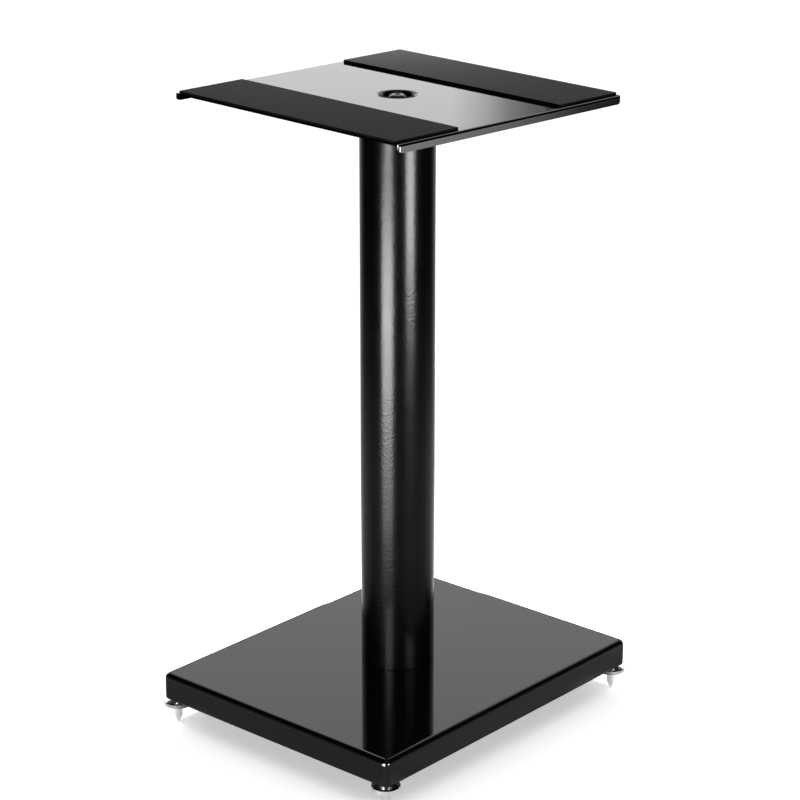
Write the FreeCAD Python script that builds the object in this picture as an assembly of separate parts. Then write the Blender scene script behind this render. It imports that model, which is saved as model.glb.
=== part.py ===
import FreeCAD, Part
import math
import os

# Stand for one bookshelf speaker: a folded base pan on four floor spikes, one round column and
# a top plate with two foam strips, which turns about its centre screw.
#
# Frame: origin on the floor under the middle of the base, +Z up, X along the foam strips,
# front at -Y. All sizes are in millimetres, at rest, with the spikes standing on z = 0.

Vector = FreeCAD.Vector
UP = Vector(0, 0, 1)
CENTRE = Vector(0, 0, 0)

# ---- base pan: folded sheet, open below, with a return flange all round its lower edge ----
base_width = 287.0
base_depth = 356.0
base_height = 26.5
base_sheet = 1.5
base_top_inner_bend = 4.0
base_corner_widening = 0.5      # how much larger the corners' radius is than the top bend's
base_lower_inner_bend = 0.5
base_return_flange = 20.0
base_window_corner = 6.0
base_clear_height = 26.5

# ---- column tube, welded discs in both ends ----
column_diameter = 70.0
column_wall = 2.0
column_length = 553.0
column_end_chamfer = 0.5
foot_disc_thickness = 6.0
cap_thickness = 5.0

# ---- bolted joint between the column and the base ----
reinforcement_width = 110.0
reinforcement_depth = 150.0
reinforcement_thickness = 4.0
reinforcement_corner_radius = 10.0
foot_bolt_count = 4
foot_bolt_circle = 44.0
foot_bolt_diameter = 8.0
foot_bolt_length = 16.0
foot_bolt_head_flats = 13.0
foot_bolt_head_height = 5.3
foot_bolt_hole_clearance = 0.5
washer_diameter = 16.0
washer_thickness = 1.6
washer_bore_clearance = 0.2
spring_washer_diameter = 14.8
spring_washer_thickness = 2.0
spring_washer_slit = 1.2

# ---- top plate: sheet with a lip bent down at each end and a pressed dish in the middle ----
plate_width = 291.0
plate_depth = 280.0
plate_sheet = 1.5
plate_lip_height = 7.5
plate_lip_inner_bend = 1.3
plate_lip_corner_radius = 5.5
plate_corner_radius = 3.0
dish_diameter = 40.0
dish_floor_diameter = 22.0
dish_depth = 5.5
plate_turn_degrees = -4.5

# ---- foam strips on the front and rear edges of the plate ----
pad_width = 75.0
pad_thickness = 2.5
pad_end_gap = 5.5
pad_edge_gap = 1.0
pad_edge_rounding = 0.2

# ---- button-head screw through the dish, and its weld nut under the cap ----
plate_screw_diameter = 10.0
plate_screw_length = 20.0
screw_head_diameter = 17.5
screw_head_height = 5.5
screw_head_rim = 0.9
screw_head_flat_diameter = 8.4
screw_socket_flats = 6.0
screw_socket_depth = 3.1
cap_hole_clearance = 0.25
cap_nut_flats = 17.0
cap_nut_height = 8.0

# ---- floor spikes, their inserts in the return flange and their lock discs ----
spike_inset = 10.0
spike_diameter = 8.0
spike_length = 45.0
spike_cone_height = 8.5
spike_tip_diameter = 0.8
spike_end_chamfer = 0.8
insert_head_diameter = 15.0
insert_head_height = 2.3
insert_body_diameter = 11.0
insert_body_length = 12.0
insert_bulge_diameter = 13.6
insert_bulge_height = 3.5
insert_hole_clearance = 0.05
lock_disc_diameter = 27.0
lock_disc_thickness = 4.1
lock_disc_chamfer = 0.4

# ---- radial clearance of everything that turns or slides on a screw ----
running_clearance = 0.08

# ---- levels and positions that follow from the sizes above ----
base_top_z = base_clear_height + base_height
pan_ceiling_z = base_top_z - base_sheet
column_top_z = base_top_z + column_length
plate_top_z = column_top_z + plate_sheet
cap_top_z = column_top_z - dish_depth
cap_bottom_z = cap_top_z - cap_thickness
dish_floor_z = plate_top_z - dish_depth
insert_head_z = base_clear_height - insert_head_height
lock_disc_z = insert_head_z - lock_disc_thickness
washer_z = pan_ceiling_z - reinforcement_thickness - washer_thickness
spring_washer_z = washer_z - spring_washer_thickness
column_bore = column_diameter - 2 * column_wall
running_bore = spike_diameter + 2 * running_clearance
foot_bolt_hole = foot_bolt_diameter + 2 * foot_bolt_hole_clearance
pad_length = plate_width - 2 * pad_end_gap
pad_centre_y = plate_depth / 2 - pad_edge_gap - pad_width / 2


def centred_box(width, depth, height, low_z):
    corner = Vector(-width / 2, -depth / 2, low_z)
    return Part.makeBox(width, depth, height, corner)


def cylinder(diameter, height, low_z):
    return Part.makeCylinder(diameter / 2, height, Vector(0, 0, low_z), UP)


def ring(outer_diameter, inner_diameter, height, low_z):
    return cylinder(outer_diameter, height, low_z).cut(cylinder(inner_diameter, height, low_z))


def hexagon(across_flats, height, low_z):
    radius = across_flats / math.sqrt(3)
    turns = [math.radians(60 * side) for side in range(7)]
    corners = [Vector(radius * math.cos(turn), radius * math.sin(turn), low_z) for turn in turns]
    return Part.Face(Part.makePolygon(corners)).extrude(UP * height)


def turned(edges):
    """A solid of revolution about Z from a closed outline in the XZ plane."""
    return Part.Face(Part.Wire(Part.__sortEdges__(edges))).revolve(CENTRE, UP, 360)


def line(start, end):
    return Part.LineSegment(start, end).toShape()


def arc_about(centre, radius, start_degrees, end_degrees):
    """An arc in the XZ plane, with its angles measured from +X towards +Z."""
    points = []
    for degrees in (start_degrees, (start_degrees + end_degrees) / 2, end_degrees):
        turn = math.radians(degrees)
        points.append(centre + Vector(radius * math.cos(turn), 0, radius * math.sin(turn)))
    return Part.Arc(points[0], points[1], points[2]).toShape()


def turned_polygon(corners):
    """A solid of revolution about Z from (radius, height) corners."""
    points = [Vector(radius, 0, height) for radius, height in corners]
    return turned([line(a, b) for a, b in zip(points, points[1:] + points[:1])])


def upright_edges(shape):
    found = []
    for edge in shape.Edges:
        run = edge.Vertexes[-1].Point - edge.Vertexes[0].Point
        if abs(run.z) > 1e-6 and math.hypot(run.x, run.y) < 1e-6:
            found.append(edge)
    return found


def edges_at(shape, level):
    return [edge for edge in shape.Edges
            if all(abs(vertex.Point.z - level) < 1e-6 for vertex in edge.Vertexes)]


def on_bolt_circle(piece):
    """Copies of a piece, made on the Z axis, at every bolt of the column's foot."""
    copies = []
    for bolt in range(foot_bolt_count):
        turn = math.radians(45 + 360 * bolt / foot_bolt_count)
        copy = piece.copy()
        copy.translate(Vector(math.cos(turn), math.sin(turn), 0) * (foot_bolt_circle / 2))
        copies.append(copy)
    return copies


def spike_places():
    """Where each spike stands: its name and its axis, clockwise from the front left."""
    x = base_width / 2 - spike_inset
    y = base_depth / 2 - spike_inset
    return {"front_left": Vector(-x, -y, 0), "rear_left": Vector(-x, y, 0),
            "rear_right": Vector(x, y, 0), "front_right": Vector(x, -y, 0)}


def pan_block(inset):
    """The pan's outer block, or the same block drawn in by a sheet's thickness."""
    width = base_width - 2 * inset
    depth = base_depth - 2 * inset
    height = base_height - 2 * inset
    low_z = base_clear_height + inset
    top_bend = base_top_inner_bend + base_sheet - inset
    block = centred_box(width, depth, height, low_z)
    block = block.makeFillet(top_bend + base_corner_widening, upright_edges(block))
    block = block.makeFillet(top_bend, edges_at(block, base_top_z - inset))
    return block.makeFillet(base_lower_inner_bend + base_sheet - inset, edges_at(block, low_z))


def base_pan():
    pan = pan_block(0).cut(pan_block(base_sheet))
    window = centred_box(base_width - 2 * base_return_flange,
                         base_depth - 2 * base_return_flange,
                         2 * base_sheet, base_clear_height - base_sheet / 2)
    window = window.makeFillet(base_window_corner, upright_edges(window))
    pan = pan.cut(window)
    for hole in on_bolt_circle(cylinder(foot_bolt_hole, 2 * base_sheet, pan_ceiling_z - base_sheet / 2)):
        pan = pan.cut(hole)
    insert_hole = insert_body_diameter + 2 * insert_hole_clearance
    for place in spike_places().values():
        hole = cylinder(insert_hole, 2 * base_sheet, base_clear_height - base_sheet / 2)
        hole.translate(place)
        pan = pan.cut(hole)
    return pan


def base_reinforcement():
    low_z = pan_ceiling_z - reinforcement_thickness
    plate = centred_box(reinforcement_width, reinforcement_depth, reinforcement_thickness, low_z)
    plate = plate.makeFillet(reinforcement_corner_radius, upright_edges(plate))
    for hole in on_bolt_circle(cylinder(foot_bolt_hole, reinforcement_thickness, low_z)):
        plate = plate.cut(hole)
    return plate


def column_tube():
    tube = ring(column_diameter, column_bore, column_length, base_top_z)
    rims = [edge for edge in edges_at(tube, base_top_z) + edges_at(tube, column_top_z)
            if edge.Curve.Radius > (column_bore + column_wall) / 2]
    return tube.makeChamfer(column_end_chamfer, rims)


def column_foot_disc():
    disc = cylinder(column_bore, foot_disc_thickness, base_top_z)
    for hole in on_bolt_circle(cylinder(foot_bolt_diameter, foot_disc_thickness, base_top_z)):
        disc = disc.cut(hole)
    return disc


def column_bolts():
    shank = cylinder(foot_bolt_diameter, foot_bolt_length, spring_washer_z)
    head = hexagon(foot_bolt_head_flats, foot_bolt_head_height, spring_washer_z - foot_bolt_head_height)
    return Part.makeCompound(on_bolt_circle(shank.fuse(head)))


def column_bolt_washers():
    bore = foot_bolt_diameter + 2 * washer_bore_clearance
    return Part.makeCompound(on_bolt_circle(ring(washer_diameter, bore, washer_thickness, washer_z)))


def column_spring_washers():
    bore = foot_bolt_diameter + 2 * washer_bore_clearance
    coil = ring(spring_washer_diameter, bore, spring_washer_thickness, spring_washer_z)
    slit = Part.makeBox(spring_washer_diameter, spring_washer_slit, spring_washer_thickness,
                        Vector(0, -spring_washer_slit / 2, spring_washer_z))
    return Part.makeCompound(on_bolt_circle(coil.cut(slit)))


def column_cap():
    screw_hole = plate_screw_diameter + 2 * cap_hole_clearance
    return ring(column_bore, screw_hole, cap_thickness, cap_bottom_z)


def cap_nut():
    low_z = cap_bottom_z - cap_nut_height
    nut = hexagon(cap_nut_flats, cap_nut_height, low_z)
    return nut.cut(cylinder(plate_screw_diameter, cap_nut_height, low_z))


def plate_screw():
    rim_z = dish_floor_z + screw_head_rim
    top_z = dish_floor_z + screw_head_height
    outer = screw_head_diameter / 2
    flat = screw_head_flat_diameter / 2
    # The dome is one arc that stands square on the rim's top corner and ends at the flat.
    run = outer - flat
    rise = top_z - rim_z
    dome_radius = (run * run + rise * rise) / (2 * run)
    dome_angle = math.degrees(math.asin(rise / dome_radius))
    dome_centre = Vector(outer - dome_radius, 0, rim_z)
    head = turned([
        line(Vector(0, 0, dish_floor_z), Vector(outer, 0, dish_floor_z)),
        line(Vector(outer, 0, dish_floor_z), Vector(outer, 0, rim_z)),
        arc_about(dome_centre, dome_radius, 0, dome_angle),
        line(Vector(flat, 0, top_z), Vector(0, 0, top_z)),
        line(Vector(0, 0, top_z), Vector(0, 0, dish_floor_z))])
    head = head.cut(hexagon(screw_socket_flats, screw_socket_depth, top_z - screw_socket_depth))
    shank = cylinder(plate_screw_diameter, plate_screw_length, dish_floor_z - plate_screw_length)
    return head.fuse(shank)


def turned_with_plate(shape):
    shape.rotate(CENTRE, UP, plate_turn_degrees)
    return shape


def lipped_sheet():
    """The flat sheet with both lips, made as one bent profile along Y."""
    half = plate_width / 2
    inner_bend = plate_lip_inner_bend
    bend = inner_bend + plate_sheet
    lip_z = plate_top_z - plate_lip_height
    edges = []
    for side in (-1, 1):
        outer_x = side * half
        inner_x = side * (half - plate_sheet)
        bend_centre = Vector(side * (half - bend), 0, plate_top_z - bend)
        level = 0 if side > 0 else 180
        edges += [
            arc_about(bend_centre, bend, level, 90),
            arc_about(bend_centre, inner_bend, level, 90),
            line(Vector(outer_x, 0, plate_top_z - bend), Vector(outer_x, 0, lip_z)),
            line(Vector(outer_x, 0, lip_z), Vector(inner_x, 0, lip_z)),
            line(Vector(inner_x, 0, lip_z), Vector(inner_x, 0, plate_top_z - bend))]
    flat = half - bend
    edges += [
        line(Vector(-flat, 0, plate_top_z), Vector(flat, 0, plate_top_z)),
        line(Vector(-flat, 0, column_top_z), Vector(flat, 0, column_top_z))]
    profile = Part.Face(Part.Wire(Part.__sortEdges__(edges)))
    profile.translate(Vector(0, -plate_depth / 2, 0))
    sheet = profile.extrude(Vector(0, plate_depth, 0))
    return sheet.common(plan_limit()).common(lip_corner_limit())


def plan_limit():
    """A block of the plate's outline, with rounded upright corners."""
    block = centred_box(plate_width, plate_depth, 2 * plate_lip_height,
                        plate_top_z - plate_lip_height)
    return block.makeFillet(plate_corner_radius, upright_edges(block))


def lip_corner_limit():
    """A block as deep as the plate whose lower edges round off the lips' corners."""
    width = 2 * plate_width
    height = 2 * plate_lip_height
    block = centred_box(width, plate_depth, height, plate_top_z - plate_lip_height)
    lower = [edge for edge in edges_at(block, plate_top_z - plate_lip_height)
             if edge.Length > plate_depth + 1]
    return block.makeFillet(plate_lip_corner_radius, lower)


def dish():
    """The pressed dish: a flat floor with the screw's hole and an S-shaped wall up to the sheet."""
    rim = dish_diameter / 2
    floor = dish_floor_diameter / 2
    hole = plate_screw_diameter / 2 + running_clearance
    slope = 2 * math.atan2(dish_depth, rim - floor)
    bend = (rim - floor) / (2 * math.sin(slope))
    middle_z = plate_top_z - plate_sheet / 2
    rim_centre = Vector(rim, 0, middle_z - bend)
    floor_centre = Vector(floor, 0, middle_z - dish_depth + bend)
    degrees = math.degrees(slope)
    edges = []
    for offset in (plate_sheet / 2, -plate_sheet / 2):
        edges += [
            arc_about(rim_centre, bend + offset, 90, 90 + degrees),
            arc_about(floor_centre, bend - offset, 270 + degrees, 270),
            line(Vector(floor, 0, middle_z - dish_depth + offset),
                 Vector(hole, 0, middle_z - dish_depth + offset))]
    edges += [
        line(Vector(hole, 0, dish_floor_z), Vector(hole, 0, dish_floor_z - plate_sheet)),
        line(Vector(rim, 0, plate_top_z), Vector(rim, 0, column_top_z))]
    return turned(edges)


def top_plate():
    sheet = lipped_sheet().cut(cylinder(dish_diameter, plate_sheet, column_top_z))
    return turned_with_plate(sheet.fuse(dish()).removeSplitter())


def pad(side):
    strip = centred_box(pad_length, pad_width, pad_thickness, plate_top_z)
    strip = strip.makeFillet(pad_edge_rounding, edges_at(strip, plate_top_z + pad_thickness))
    strip.translate(Vector(0, side * pad_centre_y, 0))
    return turned_with_plate(strip)


def spike(place):
    radius = spike_diameter / 2
    shape = turned_polygon([
        (0, 0),
        (spike_tip_diameter / 2, 0),
        (radius, spike_cone_height),
        (radius, spike_length - spike_end_chamfer),
        (radius - spike_end_chamfer, spike_length),
        (0, spike_length)])
    shape.translate(place)
    return shape


def lock_disc(place):
    disc = ring(lock_disc_diameter, running_bore, lock_disc_thickness, lock_disc_z)
    rims = [edge for edge in disc.Edges if len(edge.Vertexes) == 1
            and abs(edge.Curve.Radius - lock_disc_diameter / 2) < 1e-6]
    disc = disc.makeChamfer(lock_disc_chamfer, rims)
    disc.translate(place)
    return disc


def spike_inserts():
    bore = running_bore / 2
    body = insert_body_diameter / 2
    bulge = insert_bulge_diameter / 2
    head = insert_head_diameter / 2
    sheet_top_z = base_clear_height + base_sheet
    insert = turned_polygon([
        (bore, insert_head_z),
        (head, insert_head_z),
        (head, base_clear_height),
        (body, base_clear_height),
        (body, sheet_top_z),
        (bulge, sheet_top_z),
        (bulge, sheet_top_z + insert_bulge_height),
        (body, sheet_top_z + insert_bulge_height),
        (body, base_clear_height + insert_body_length),
        (bore, base_clear_height + insert_body_length)])
    copies = []
    for place in spike_places().values():
        copy = insert.copy()
        copy.translate(place)
        copies.append(copy)
    return Part.makeCompound(copies)


def all_nodes():
    nodes = {
        "base_pan": base_pan(),
        "base_reinforcement": base_reinforcement(),
        "column_tube": column_tube(),
        "column_foot_disc": column_foot_disc(),
        "column_bolts": column_bolts(),
        "column_bolt_washers": column_bolt_washers(),
        "column_spring_washers": column_spring_washers(),
        "column_cap": column_cap(),
        "cap_nut": cap_nut(),
        "plate_screw": plate_screw(),
        "top_plate": top_plate(),
        "front_pad": pad(-1),
        "rear_pad": pad(1),
        "spike_inserts": spike_inserts()}
    for name, place in spike_places().items():
        nodes["spike_" + name] = spike(place)
        nodes["lock_disc_" + name] = lock_disc(place)
    return nodes


os.makedirs("parts", exist_ok=True)
for node, shape in all_nodes().items():
    shape.exportStep("parts/" + node + ".step")
    box = shape.BoundBox
    print(f"{node}: {len(shape.Solids)} solid(s), valid {shape.isValid()}, volume {shape.Volume:.0f}, "
          f"z {box.ZMin:.2f} to {box.ZMax:.2f}, x {box.XLength:.2f}, y {box.YLength:.2f}")
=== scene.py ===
import math

import bmesh
import bpy
from mathutils import Matrix, Vector, noise


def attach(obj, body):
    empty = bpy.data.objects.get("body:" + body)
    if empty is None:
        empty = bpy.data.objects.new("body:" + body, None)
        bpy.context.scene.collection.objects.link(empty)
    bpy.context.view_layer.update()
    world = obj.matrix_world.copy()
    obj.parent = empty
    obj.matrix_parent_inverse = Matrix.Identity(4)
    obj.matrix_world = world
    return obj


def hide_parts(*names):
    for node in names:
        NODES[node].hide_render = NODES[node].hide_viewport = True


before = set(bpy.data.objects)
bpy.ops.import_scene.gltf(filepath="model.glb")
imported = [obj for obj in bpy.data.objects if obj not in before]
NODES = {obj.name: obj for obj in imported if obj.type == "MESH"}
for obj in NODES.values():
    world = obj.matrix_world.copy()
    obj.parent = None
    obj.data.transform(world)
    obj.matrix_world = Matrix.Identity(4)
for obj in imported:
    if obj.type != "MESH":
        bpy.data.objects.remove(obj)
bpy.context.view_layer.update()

# Speaker stand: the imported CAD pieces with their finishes, and two foam strips modelled in detail
# in place of the CAD's plain ones. Metres, in the CAD model's own frame: the floor is z = 0, the
# front is -Y, and the column stands on the Z axis.

SPIKE_CORNERS = ("front_left", "front_right", "rear_left", "rear_right")
SPIKE_PLACE = (0.1335, 0.168)   # each spike's distance from the column's axis, along X and Y

# ---- the photograph's viewpoint ----
CAMERA_AZIMUTH = 41.28          # degrees, 0 looks along +Y and 90 along -X
CAMERA_PITCH = 18.85            # degrees below the horizon
CAMERA_BACK = 2.2805            # horizontal distance from the column's axis
CAMERA_SIDE = 0.0022            # to the right of the column's axis
CAMERA_HEIGHT = 1.0942
CAMERA_LENS = 115.41            # mm
CAMERA_SENSOR = 36.0            # mm, its width

# ---- studio ----
FLOOR_RADIUS = 9.0
FLOOR_SIDES = 96
FLOOR_COLOUR = 0.80
FLOOR_GLOW = 0.50               # added for the camera alone, so that the open floor is white
SPIKE_GLOW = 0.38               # added round the spikes, where only their chrome reflects it
SKY_LIGHT = 0.25
SUN_LIGHT = 1.7
SUN_SPREAD = 75.0               # degrees

# Reflections see the floor as a round table whose grey level changes with the distance from the
# column's axis, and a glow in front of the nearest spike: (share of TABLE_REACH, level).
TABLE_REACH = 2.0
TABLE = ((0.15, 0.29), (0.22, 0.60), (0.36, 0.80), (0.56, 0.30), (0.82, 0.03))
SPIKE_SECTOR = ((0.163, SPIKE_GLOW), (0.176, 0.0))
SPIKE_SPOT = ((0.045, SPIKE_GLOW), (0.058, 0.0))        # round each spike, (metres, level)

# How reflections see what surrounds the floor: (sine of the height above the horizon, level).
CEILING = ((0.93, 0.02), (0.98, 0.35))
FAR_SIDE = ((0.27, 0.15), (0.34, 1.3), (0.66, 1.3), (0.76, 0.02), *CEILING)
NEAR_SIDE = ((0.0, 0.30), (0.24, 0.30), (0.34, 0.05), (0.42, 0.02), *CEILING)

# Panels that only reflections see: azimuth in degrees and distance from the column's axis, the
# two ends sideways, the lower and upper edge, the radiance, and how it fades along the panel.
LEFT = CAMERA_AZIMUTH - 31
RIGHT = CAMERA_AZIMUTH + 38
BEHIND = CAMERA_AZIMUTH + 180
PLATE_LIP = 90                  # faces the plate's right lip
LIP_FADE = ((0.30, 0.88), (0.59, 0.56), (0.84, 0.10), (0.97, 0.03))
BACK_FADE = ((0.0, 0.10), (0.029, 0.14), (0.073, 0.30), (0.125, 0.67), (0.19, 1.0))
PANELS = {
    "strip_left": (LEFT, 0.95, (-0.265, 0.28), (0.0, 0.255), 64.0, None),
    "strip_left_high": (LEFT, 0.95, (-0.10, 0.24), (0.37, 0.47), 72.0, None),
    "strip_left_low": (LEFT, 0.50, (-0.14, 0.147), (0.0, 0.12), 12.0, None),
    "strip_right": (RIGHT, 1.10, (-0.23, 0.23), (0.13, 0.40), 66.0, None),
    "strip_behind": (BEHIND, 1.0, (-0.15, 0.15), (0.0, 0.30), 30.0, None),
    "back_panel": (BEHIND, 0.62, (-0.17, 0.40), (0.68, 0.80), 1.7, BACK_FADE),
    "edge_panel": (PLATE_LIP, 0.30, (-0.12, 0.28), (0.545, 0.605), 5.2, LIP_FADE),
    "edge_line": (PLATE_LIP, 0.30, (-0.12, 0.28), (0.605, 0.65), 7.5, LIP_FADE)}

# A small light that lifts the rear foam strip's left end.
REAR_GLOW_PLACE = Vector((-0.30, 0.30, 0.72))
REAR_GLOW_TARGET = Vector((0.0, 0.1, 0.61))
REAR_GLOW_SIZE = 0.12
REAR_GLOW_POWER = 11.0

# ---- foam strips ----
PAD_TURN = math.radians(-4.5)
PAD_SIZE = Vector((0.280, 0.075, 0.0025))
PAD_CENTRE_Y = 0.1015
PAD_LOW_Z = 0.6075
PAD_STEPS = (140, 38)           # the top's grid, along X and Y
PAD_GRAIN = 0.00004             # half the height of the skin's coarse relief
PAD_GRAIN_SCALE = 400           # per metre
PAD_WAVE = 0.00008              # how far the cut sides wander inwards
PAD_WAVE_SCALE = 90             # per metre
PAD_MARGIN = 0.00001            # keeps the sides inside the CAD strip
PAD_EDGE = 0.0002               # the broken upper edge's width


def linked(obj):
    bpy.context.scene.collection.objects.link(obj)
    return obj


def mesh_object(name, build):
    """A new object whose mesh build(bm) fills in."""
    mesh = bpy.data.meshes.new(name)
    bm = bmesh.new()
    build(bm)
    bm.normal_update()
    bm.to_mesh(mesh)
    bm.free()
    return linked(bpy.data.objects.new(name, mesh))


def map_range(tree, value, low, high, to_low=0.0, to_high=1.0):
    """value mapped from low..high to to_low..to_high, and held within them."""
    node = tree.nodes.new("ShaderNodeMapRange")
    node.inputs["From Min"].default_value = low
    node.inputs["From Max"].default_value = high
    node.inputs["To Min"].default_value = to_low
    node.inputs["To Max"].default_value = to_high
    tree.links.new(value, node.inputs["Value"])
    return node.outputs["Result"]


# ---------------------------------------------------------------- materials

NOISE_SPAN = (0.3, 0.7)         # the values that most of a noise lies between


class Finish:
    """A Principled material whose colour, roughness and relief can follow noise. size is how
    large the noise's features are. It and height are in metres."""

    def __init__(self, name, colour, roughness, metallic=0.0, specular=0.5):
        self.material = bpy.data.materials.new(name)
        self.material.use_nodes = True
        self.tree = self.material.node_tree
        self.bsdf = self.tree.nodes["Principled BSDF"]
        self.bsdf.inputs["Base Color"].default_value = (*colour, 1.0)
        self.bsdf.inputs["Roughness"].default_value = roughness
        self.bsdf.inputs["Metallic"].default_value = metallic
        self.bsdf.inputs["Specular IOR Level"].default_value = specular
        self.place = self.tree.nodes.new("ShaderNodeTexCoord").outputs["Object"]

    def noise(self, size, detail):
        node = self.tree.nodes.new("ShaderNodeTexNoise")
        node.inputs["Scale"].default_value = 1.0 / size
        node.inputs["Detail"].default_value = detail
        self.tree.links.new(self.place, node.inputs["Vector"])
        return node.outputs["Fac"]

    def mottle(self, size, detail, dark, light, stretched=False):
        """The colour runs from dark to light. stretched makes both of them common."""
        value = self.noise(size, detail)
        if stretched:
            value = map_range(self.tree, value, *NOISE_SPAN)
        node = self.tree.nodes.new("ShaderNodeMix")
        node.data_type = "RGBA"
        node.inputs["A"].default_value = (*dark, 1.0)
        node.inputs["B"].default_value = (*light, 1.0)
        self.tree.links.new(value, node.inputs["Factor"])
        self.tree.links.new(node.outputs["Result"], self.bsdf.inputs["Base Color"])

    def roughen(self, size, detail, low, high):
        """The roughness runs from low to high."""
        value = map_range(self.tree, self.noise(size, detail), *NOISE_SPAN, low, high)
        self.tree.links.new(value, self.bsdf.inputs["Roughness"])

    def bump(self, size, detail, height):
        node = self.tree.nodes.new("ShaderNodeBump")
        node.inputs["Strength"].default_value = 1.0
        node.inputs["Distance"].default_value = height
        self.tree.links.new(self.noise(size, detail), node.inputs["Height"])
        self.tree.links.new(node.outputs["Normal"], self.bsdf.inputs["Normal"])


def gloss_black():
    """Smooth black powder coat on the base and the top plate."""
    finish = Finish("gloss_black_coat", (0.001, 0.001, 0.001), roughness=0.06, specular=0.35)
    finish.mottle(size=0.12, detail=2.0, dark=(0.0008, 0.0008, 0.0009),
                  light=(0.0014, 0.0014, 0.0015))
    finish.roughen(size=0.05, detail=4.0, low=0.045, high=0.075)
    finish.bump(size=0.004, detail=2.0, height=0.000004)
    return finish.material


def satin_black():
    """Slightly pebbled satin powder coat on the column."""
    finish = Finish("satin_black_coat", (0.001, 0.001, 0.001), roughness=0.22, specular=0.12)
    finish.mottle(size=0.08, detail=2.0, dark=(0.0008, 0.0008, 0.0008),
                  light=(0.0015, 0.0015, 0.0015))
    finish.roughen(size=0.03, detail=4.0, low=0.20, high=0.24)
    finish.bump(size=0.0026, detail=3.0, height=0.00013)
    return finish.material


def foam():
    """Dark closed-cell foam with a fine open grain."""
    finish = Finish("dark_foam", (0.022, 0.022, 0.023), roughness=0.9, specular=0.2)
    finish.mottle(size=0.0012, detail=4.0, dark=(0.010, 0.010, 0.0105),
                  light=(0.026, 0.026, 0.027), stretched=True)
    finish.bump(size=0.0009, detail=4.0, height=0.0003)
    return finish.material


def foam_painted_shade():
    """The knife-cut sides of the same foam: a darker copy of it whose darker colour is painted
    shade for the sides, and smoother than its skin.
    """
    # Painted shade: this colour and mottle are the foam's own, darkened to stand for the shade that
    # falls on the strips' sides.
    finish = Finish("foam_painted_shade_side", (0.003, 0.003, 0.003), roughness=0.95, specular=0.05)
    finish.mottle(size=0.0008, detail=3.0, dark=(0.0015, 0.0015, 0.0015),
                  light=(0.006, 0.006, 0.006), stretched=True)
    finish.bump(size=0.0006, detail=3.0, height=0.0001)
    return finish.material


def chrome():
    finish = Finish("polished_chrome", (0.97, 0.97, 0.98), roughness=0.06, metallic=1.0)
    finish.roughen(size=0.004, detail=3.0, low=0.04, high=0.09)
    return finish.material


def zinc():
    finish = Finish("zinc_plating", (0.62, 0.63, 0.65), roughness=0.3, metallic=1.0)
    finish.mottle(size=0.006, detail=3.0, dark=(0.55, 0.56, 0.58), light=(0.68, 0.69, 0.70))
    finish.roughen(size=0.002, detail=3.0, low=0.24, high=0.38)
    return finish.material


def turned_steel():
    finish = Finish("turned_steel", (0.35, 0.35, 0.36), roughness=0.4, metallic=1.0)
    finish.roughen(size=0.003, detail=3.0, low=0.32, high=0.48)
    return finish.material


def black_oxide():
    finish = Finish("black_oxide", (0.02, 0.02, 0.02), roughness=0.22)
    finish.roughen(size=0.002, detail=3.0, low=0.18, high=0.28)
    return finish.material


def dress_cad_nodes():
    finishes = {
        gloss_black: ("base_pan", "top_plate"),
        satin_black: ("column_tube", "column_cap"),
        zinc: ("base_reinforcement", "column_bolts", "column_bolt_washers",
               "column_spring_washers", "cap_nut"),
        turned_steel: ("column_foot_disc",),
        black_oxide: ("plate_screw", "spike_inserts"),
        chrome: tuple("spike_" + corner for corner in SPIKE_CORNERS)
        + tuple("lock_disc_" + corner for corner in SPIKE_CORNERS)}
    for make, names in finishes.items():
        material = make()
        for name in names:
            for slot in NODES[name].material_slots:
                slot.material = material


# ---------------------------------------------------------------- foam strips

def foam_strip(name, side, skin, side_shade_finish):
    """One cut strip: a fine grid on top, a softly broken upper edge and slightly wavy sides."""
    def build(bm):
        bmesh.ops.create_grid(bm, x_segments=PAD_STEPS[0], y_segments=PAD_STEPS[1], size=0.5)
        for vertex in bm.verts:
            x = vertex.co.x * PAD_SIZE.x
            y = vertex.co.y * PAD_SIZE.y
            grain = PAD_GRAIN * noise.noise(Vector((x, y, side)) * PAD_GRAIN_SCALE)
            vertex.co = Vector((x, y, PAD_SIZE.z + grain - PAD_GRAIN))
        rim = [edge for edge in bm.edges if edge.is_boundary]
        for vertex in {v for edge in rim for v in edge.verts}:
            place = Vector((vertex.co.x, vertex.co.y, side))
            inset = PAD_WAVE * abs(noise.noise(place * PAD_WAVE_SCALE)) + PAD_MARGIN
            vertex.co.x *= 1.0 - 2.0 * inset / PAD_SIZE.x
            vertex.co.y *= 1.0 - 2.0 * inset / PAD_SIZE.y
        walls = bmesh.ops.extrude_edge_only(bm, edges=rim)
        for vertex in [v for v in walls["geom"] if isinstance(v, bmesh.types.BMVert)]:
            vertex.co.z = 0.0
        # Material 1 is the darker foam copy with the painted shade, on the sides and the underside.
        for face in [f for f in walls["geom"] if isinstance(f, bmesh.types.BMFace)]:
            face.material_index = 1
        floor = [edge for edge in bm.edges if edge.is_boundary]
        base = bmesh.ops.contextual_create(bm, geom=floor)
        for face in base["faces"]:
            face.material_index = 1
        bmesh.ops.recalc_face_normals(bm, faces=bm.faces)
        upper = [edge for edge in bm.edges if len(edge.link_faces) == 2
                 and {f.material_index for f in edge.link_faces} == {0, 1}]
        bmesh.ops.bevel(bm, geom=upper, offset=PAD_EDGE, segments=2, profile=0.5, affect="EDGES")

    strip = mesh_object(name, build)
    strip.data.materials.append(skin)
    # The second material is the foam copy with painted shade for the sides.
    strip.data.materials.append(side_shade_finish)
    strip.matrix_world = Matrix.Rotation(PAD_TURN, 4, "Z") @ Matrix.Translation(
        (0.0, side * PAD_CENTRE_Y, PAD_LOW_Z))
    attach(strip, "plate")
    return strip


# ---------------------------------------------------------------- studio

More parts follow.
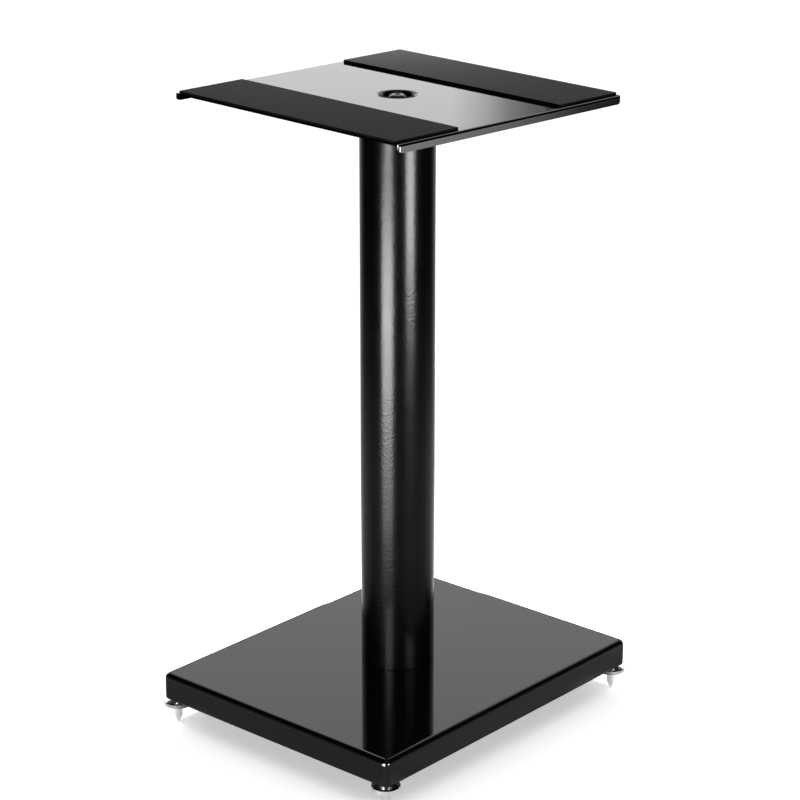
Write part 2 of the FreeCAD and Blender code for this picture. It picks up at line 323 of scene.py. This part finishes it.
def ramp(tree, value, stops):
    """A grey ColorRamp of value, from (position, level) stops."""
    node = tree.nodes.new("ShaderNodeValToRGB")
    while len(node.color_ramp.elements) < len(stops):
        node.color_ramp.elements.new(0.5)
    for element, (position, level) in zip(node.color_ramp.elements, stops):
        element.position = position
        element.color = (level, level, level, 1.0)
    tree.links.new(value, node.inputs["Fac"])
    return node.outputs["Color"]


def mixed(tree, factor, first, second):
    """first where factor is 0 and second where it is 1: each a grey level or a colour output."""
    node = tree.nodes.new("ShaderNodeMix")
    node.data_type = "RGBA"
    for socket, source in (("A", first), ("B", second)):
        if isinstance(source, float):
            node.inputs[socket].default_value = (source, source, source, 1.0)
        else:
            tree.links.new(source, node.inputs[socket])
    tree.links.new(factor, node.inputs["Factor"])
    return node.outputs["Result"]


def vector_math(tree, operation, vector, other=(0.0, 0.0, 0.0)):
    """The vector or the number that a vector operation gives."""
    node = tree.nodes.new("ShaderNodeVectorMath")
    node.operation = operation
    node.inputs[1].default_value = other
    tree.links.new(vector, node.inputs[0])
    return node.outputs["Vector" if operation in ("ABSOLUTE", "NORMALIZE") else "Value"]


def facing(tree, direction, none, full):
    """How far a direction points to the studio's far side, which lies beyond the object: 0 where
    its cosine with that side is none, 1 where it is full or past it."""
    turn = math.radians(CAMERA_AZIMUTH)
    far = (-math.sin(turn), math.cos(turn), 0.0)
    return map_range(tree, vector_math(tree, "DOT_PRODUCT", direction, far), none, full)


def reflected_floor(tree):
    """How reflections see the floor: its colour, which is that of a bright round table that fades
    out except on the far side, and its glow, which is a spot round each spike and a sector in
    front of the nearest one, small enough to reach only their chrome."""
    place = tree.nodes.new("ShaderNodeTexCoord").outputs["Object"]
    away = map_range(tree, vector_math(tree, "LENGTH", place), 0.0, TABLE_REACH)
    spoke = vector_math(tree, "NORMALIZE", place)
    colour = mixed(tree, facing(tree, spoke, none=0.55, full=0.85), ramp(tree, away, TABLE),
                   FLOOR_COLOUR)
    quarter = vector_math(tree, "ABSOLUTE", place)
    from_spike = vector_math(tree, "DISTANCE", quarter, (*SPIKE_PLACE, 0.0))
    glow = mixed(tree, facing(tree, spoke, none=-0.94, full=-0.975),
                 ramp(tree, from_spike, SPIKE_SPOT), ramp(tree, away, SPIKE_SECTOR))
    return colour, glow


def studio_floor():
    """A pale floor, white to the camera where it is open."""
    def build(bm):
        bmesh.ops.create_circle(bm, cap_ends=True, segments=FLOOR_SIDES, radius=FLOOR_RADIUS)

    floor = mesh_object("studio_floor", build)
    material = bpy.data.materials.new("pale_floor")
    material.use_nodes = True
    tree = material.node_tree
    bsdf = tree.nodes["Principled BSDF"]
    bsdf.inputs["Roughness"].default_value = 1.0
    bsdf.inputs["Specular IOR Level"].default_value = 0.0
    bsdf.inputs["Emission Color"].default_value = (1.0, 1.0, 1.0, 1.0)
    path = tree.nodes.new("ShaderNodeLightPath").outputs
    colour, glow = reflected_floor(tree)
    colour = mixed(tree, path["Is Glossy Ray"], FLOOR_COLOUR, colour)
    tree.links.new(colour, bsdf.inputs["Base Color"])
    glow = mixed(tree, path["Is Glossy Ray"], 0.0, glow)
    strength = tree.nodes.new("ShaderNodeMath")
    strength.operation = "MULTIPLY_ADD"
    strength.inputs[1].default_value = FLOOR_GLOW
    tree.links.new(path["Is Camera Ray"], strength.inputs[0])
    tree.links.new(glow, strength.inputs[2])
    tree.links.new(strength.outputs["Value"], bsdf.inputs["Emission Strength"])
    floor.data.materials.append(material)


def surround():
    """White for the camera and plain grey for diffuse light. Reflections see a white band above a
    dim horizon on the far side, a faint horizon on the near side, and a dark ceiling with a
    grey opening at its top."""
    world = bpy.data.worlds.new("studio_surround")
    bpy.context.scene.world = world
    world.use_nodes = True
    tree = world.node_tree
    background = tree.nodes["Background"]
    place = tree.nodes.new("ShaderNodeTexCoord").outputs["Generated"]
    parts = tree.nodes.new("ShaderNodeSeparateXYZ")
    tree.links.new(place, parts.inputs["Vector"])
    glossy = mixed(tree, facing(tree, place, none=0.45, full=0.70),
                   ramp(tree, parts.outputs["Z"], NEAR_SIDE),
                   ramp(tree, parts.outputs["Z"], FAR_SIDE))
    path = tree.nodes.new("ShaderNodeLightPath").outputs
    unseen = mixed(tree, path["Is Glossy Ray"], SKY_LIGHT, glossy)
    seen = mixed(tree, path["Is Camera Ray"], unseen, 1.0)
    tree.links.new(seen, background.inputs["Color"])
    background.inputs["Strength"].default_value = 1.0


def lamp(light, unseen):
    """An object for a light. unseen names the kinds of rays that don't meet it."""
    obj = linked(bpy.data.objects.new(light.name, light))
    for ray in unseen:
        setattr(obj, "visible_" + ray, False)
    return obj


def aim(obj, place, direction):
    """Puts a lamp at place, so that it shines along direction."""
    obj.location = place
    obj.rotation_mode = "QUATERNION"
    obj.rotation_quaternion = direction.to_track_quat("-Z", "Y")


def reflector(name, azimuth, distance, sides, heights, radiance, fade):
    """A bright panel that only reflections see. It stands upright at azimuth degrees, distance
    away from the column's axis, and faces the axis. sides are its two ends, in metres
    anticlockwise of the azimuth. fade is None or (place, share of the radiance) stops, from 0
    at its first end to 1."""
    width = sides[1] - sides[0]
    height = heights[1] - heights[0]
    light = bpy.data.lights.new(name, "AREA")
    light.shape = "RECTANGLE"
    light.size = width
    light.size_y = height
    light.energy = radiance * math.pi * width * height
    if fade:
        light.use_nodes = True
        tree = light.node_tree
        surface = tree.nodes.new("ShaderNodeNewGeometry")
        parts = tree.nodes.new("ShaderNodeSeparateXYZ")
        tree.links.new(surface.outputs["Parametric"], parts.inputs["Vector"])
        share = ramp(tree, parts.outputs["X"], fade)
        tree.links.new(share, tree.nodes["Emission"].inputs["Strength"])
    turn = math.radians(azimuth)
    out = Vector((math.sin(turn), -math.cos(turn), 0.0))
    along = Vector((math.cos(turn), math.sin(turn), 0.0))
    middle = out * distance + along * (sum(sides) / 2) + Vector((0.0, 0.0, sum(heights) / 2))
    aim(lamp(light, unseen=("camera", "diffuse")), middle, -out)


def lamps():
    """One wide overhead light, the panels and the rear foam strip's small light."""
    sun = bpy.data.lights.new("overhead", "SUN")
    sun.energy = SUN_LIGHT
    sun.angle = math.radians(SUN_SPREAD)
    lamp(sun, unseen=("glossy",))
    for name, (azimuth, distance, sides, heights, radiance, fade) in PANELS.items():
        reflector(name, azimuth, distance, sides, heights, radiance, fade)
    glow = bpy.data.lights.new("rear_glow", "AREA")
    glow.shape = "DISK"
    glow.size = REAR_GLOW_SIZE
    glow.energy = REAR_GLOW_POWER
    aim(lamp(glow, unseen=("camera", "glossy")), REAR_GLOW_PLACE,
        REAR_GLOW_TARGET - REAR_GLOW_PLACE)


def camera():
    data = bpy.data.cameras.new("camera")
    data.lens = CAMERA_LENS
    data.sensor_width = CAMERA_SENSOR
    eye = linked(bpy.data.objects.new("camera", data))
    place = Vector((CAMERA_SIDE, -CAMERA_BACK, CAMERA_HEIGHT))
    eye.location = Matrix.Rotation(math.radians(CAMERA_AZIMUTH), 3, "Z") @ place
    eye.rotation_euler = (math.radians(90 - CAMERA_PITCH), 0.0, math.radians(CAMERA_AZIMUTH))
    bpy.context.scene.camera = eye
    bpy.context.scene.view_settings.view_transform = "Standard"


camera()
surround()
studio_floor()
lamps()
dress_cad_nodes()
foam_skin = foam()
# A darker copy of the foam, whose colour paints the shade on the strips' sides.
foam_shaded_sides = foam_painted_shade()
for side, place in ((-1, "front"), (1, "rear")):
    strip = foam_strip(place + "_foam_strip", side, foam_skin, foam_shaded_sides)
    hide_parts(place + "_pad")
